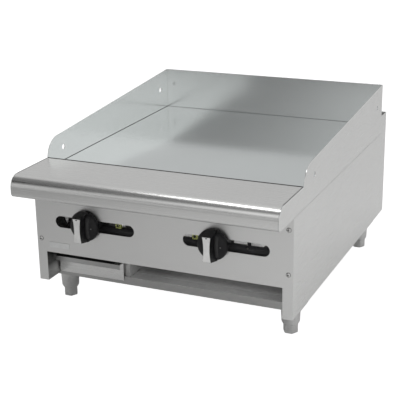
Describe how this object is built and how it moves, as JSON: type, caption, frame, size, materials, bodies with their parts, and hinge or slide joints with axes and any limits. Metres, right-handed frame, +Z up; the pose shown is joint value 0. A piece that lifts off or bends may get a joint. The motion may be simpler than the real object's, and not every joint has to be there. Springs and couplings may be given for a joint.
{
  "type": "countertop gas griddle",
  "caption": "Countertop gas griddle: steel plate with splash on three sides, rounded front shelf, slotted front panel with manual burner knobs, pull-out grease tray and levelling feet.",
  "frame": {"origin": "middle of the footprint (width by depth), on the surface the feet stand on", "axes": "+X to the right seen from the front, +Y to the rear, +Z up"},
  "size_m": [0.61, 0.84, 0.4185],
  "materials": {
    "brushed_stainless": "brushed, satin",
    "galvanised": "matt sheet",
    "griddle_steel": "ground and polished",
    "leg_metal": "satin",
    "black_iron": "black, semi-matt",
    "brass": "plain",
    "burner_steel": "dull",
    "aluminium": "plain",
    "knob_black": "satin moulded",
    "knob_silver": "satin",
    "screw_steel": "bright"
  },
  "bodies": {
    "cabinet": {"left_side_panel": "brushed_stainless", "right_side_panel": "brushed_stainless", "left_side_splash": "brushed_stainless", "right_side_splash": "brushed_stainless", "rear_splash": "brushed_stainless", "front_panel": "brushed_stainless", "front_shelf": "brushed_stainless", "front_rail": "brushed_stainless", "grease_trough": "brushed_stainless", "grease_chute": "brushed_stainless", "back_panel": "galvanised", "rear_rail": "galvanised", "floor_pan": "galvanised", "tray_guide_left": "galvanised", "tray_guide_right": "galvanised", "front_baffle": "galvanised", "burner_support": "galvanised", "plate_ledge_left": "galvanised", "plate_ledge_right": "galvanised", "griddle_plate": "griddle_steel", "leg_front_left": "leg_metal", "leg_front_right": "leg_metal", "leg_rear_left": "leg_metal", "leg_rear_right": "leg_metal", "manifold_pipe": "black_iron", "supply_elbow": "black_iron", "supply_pipe": "black_iron", "valve_body_left": "black_iron", "valve_body_right": "black_iron", "manifold_tap": "black_iron", "nameplate": "knob_silver", "orifice_left": "brass", "burner_left": "burner_steel", "pilot_valve_left": "brass", "pilot_tube_left": "aluminium", "pilot_burner_left": "burner_steel", "panel_screw_left_upper": "screw_steel", "panel_screw_left_lower": "screw_steel", "orifice_right": "brass", "burner_right": "burner_steel", "pilot_valve_right": "brass", "pilot_tube_right": "aluminium", "pilot_burner_right": "burner_steel", "panel_screw_right_upper": "screw_steel", "panel_screw_right_lower": "screw_steel"},
    "knob_assembly_left": {"knob_left": "knob_black", "knob_insert_left": "knob_silver", "valve_stem_left": "screw_steel"},
    "knob_assembly_right": {"knob_right": "knob_black", "knob_insert_right": "knob_silver", "valve_stem_right": "screw_steel"},
    "tray": {"grease_tray": "brushed_stainless"},
    "shutter_left": {"air_shutter_left": "burner_steel"},
    "shutter_right": {"air_shutter_right": "burner_steel"},
    "pilot_adjuster_left": {"pilot_screw_left": "screw_steel"},
    "pilot_adjuster_right": {"pilot_screw_right": "screw_steel"},
    "foot_front_left_body": {"foot_front_left": "leg_metal"},
    "foot_front_right_body": {"foot_front_right": "leg_metal"},
    "foot_rear_left_body": {"foot_rear_left": "leg_metal"},
    "foot_rear_right_body": {"foot_rear_right": "leg_metal"}
  },
  "joints": [
    {"name": "knob_left_turn", "type": "hinge", "parent": "cabinet", "child": "knob_assembly_left", "pos_m": [-0.176, -0.329, 0.2125], "axis": [0, -1, 0], "range_deg": [0, 90]},
    {"name": "knob_right_turn", "type": "hinge", "parent": "cabinet", "child": "knob_assembly_right", "pos_m": [0.13, -0.329, 0.2125], "axis": [0, -1, 0], "range_deg": [0, 90]},
    {"name": "tray_slide", "type": "slide", "parent": "cabinet", "child": "tray", "axis": [0, -1, 0], "range_m": [0, 0.45]},
    {"name": "shutter_left_turn", "type": "hinge", "parent": "cabinet", "child": "shutter_left", "pos_m": [-0.176, -0.229, 0.2085], "axis": [0, -1, 0], "range_deg": [0, 60]},
    {"name": "shutter_right_turn", "type": "hinge", "parent": "cabinet", "child": "shutter_right", "pos_m": [0.13, -0.229, 0.2085], "axis": [0, -1, 0], "range_deg": [0, 60]},
    {"name": "pilot_left_turn", "type": "hinge", "parent": "cabinet", "child": "pilot_adjuster_left", "pos_m": [-0.1215, -0.285, 0.2034], "axis": [0, -1, 0], "continuous": true},
    {"name": "pilot_right_turn", "type": "hinge", "parent": "cabinet", "child": "pilot_adjuster_right", "pos_m": [0.0653, -0.285, 0.2034], "axis": [0, -1, 0], "continuous": true},
    {"name": "foot_front_left_turn", "type": "hinge", "parent": "cabinet", "child": "foot_front_left_body", "pos_m": [-0.274, -0.249, 0], "axis": [0, 0, 1], "continuous": true},
    {"name": "foot_front_right_turn", "type": "hinge", "parent": "cabinet", "child": "foot_front_right_body", "pos_m": [0.274, -0.249, 0], "axis": [0, 0, 1], "continuous": true},
    {"name": "foot_rear_left_turn", "type": "hinge", "parent": "cabinet", "child": "foot_rear_left_body", "pos_m": [-0.274, 0.3, 0], "axis": [0, 0, 1], "continuous": true},
    {"name": "foot_rear_right_turn", "type": "hinge", "parent": "cabinet", "child": "foot_rear_right_body", "pos_m": [0.274, 0.3, 0], "axis": [0, 0, 1], "continuous": true}
  ]
}
